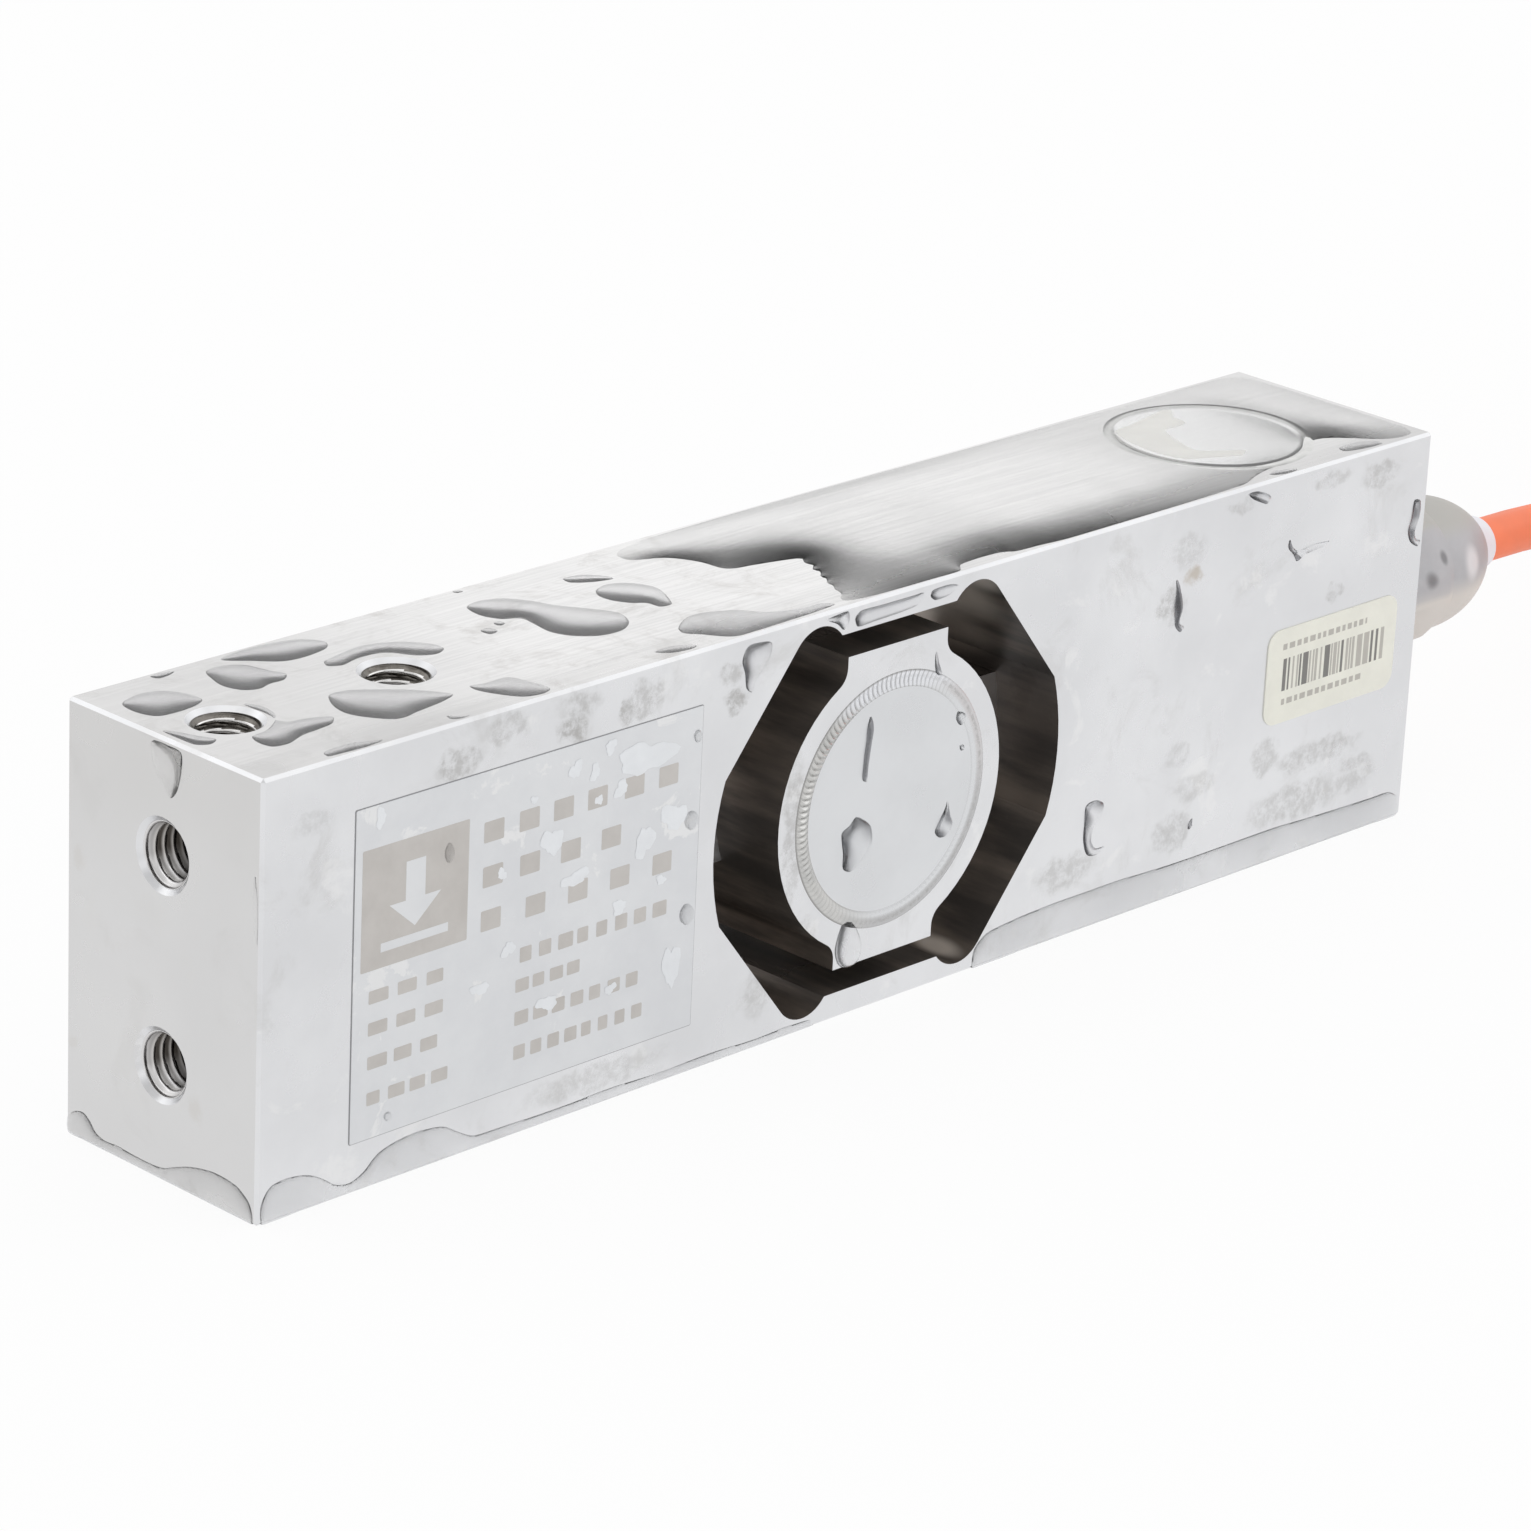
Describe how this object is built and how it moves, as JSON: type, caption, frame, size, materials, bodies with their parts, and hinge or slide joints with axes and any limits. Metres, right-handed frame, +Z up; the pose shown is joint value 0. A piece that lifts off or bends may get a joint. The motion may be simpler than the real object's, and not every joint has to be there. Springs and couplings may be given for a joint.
{
  "type": "single point load cell",
  "caption": "Stainless block load cell with a shaped through opening, welded round gauge covers, threaded fixing holes, and a cable gland with a free orange cable.",
  "frame": {"origin": "middle of the measuring body's underside, cable and gland left out", "axes": "+X along the body to its cable end, +Y to its rear face, +Z up"},
  "size_m": [0.317, 0.0473, 0.041],
  "materials": {
    "stainless_steel": "machined and lightly stained",
    "plated_gland": "nickel plated",
    "seal_rubber": "matte",
    "cable_jacket": "satin",
    "gauge_foil": "satin film",
    "circuit_board": "lacquered",
    "resistor_chip": "satin",
    "gauge_wire": "satin",
    "cable_tie": "satin",
    "core_red": "satin",
    "core_black": "satin",
    "core_green": "satin",
    "core_white": "satin"
  },
  "bodies": {
    "root": {"measuring_body": "stainless_steel", "front_gauge_cover": "stainless_steel", "rear_gauge_cover": "stainless_steel", "electronics_cover": "stainless_steel", "gland_body": "plated_gland", "gland_nut": "plated_gland", "gland_oring": "seal_rubber", "gland_seal": "seal_rubber", "cable_inlet": "cable_jacket", "cable_run": "cable_jacket", "cable_hank": "cable_jacket", "front_gauge_left": "gauge_foil", "front_gauge_right": "gauge_foil", "rear_gauge_left": "gauge_foil", "rear_gauge_right": "gauge_foil", "front_terminal_strip": "circuit_board", "rear_terminal_strip": "circuit_board", "compensation_board": "circuit_board", "zero_resistor": "resistor_chip", "span_resistor": "resistor_chip", "zero_temperature_resistor": "resistor_chip", "span_temperature_resistor": "resistor_chip", "front_gauge_leads": "gauge_wire", "rear_gauge_leads": "gauge_wire", "cable_tie_near": "cable_tie", "cable_tie_far": "cable_tie", "inner_core_1": "core_red", "flying_lead_1": "core_red", "inner_core_2": "core_black", "flying_lead_2": "core_black", "inner_core_3": "core_green", "flying_lead_3": "core_green", "inner_core_4": "core_white", "flying_lead_4": "core_white"}
  },
  "joints": []
}
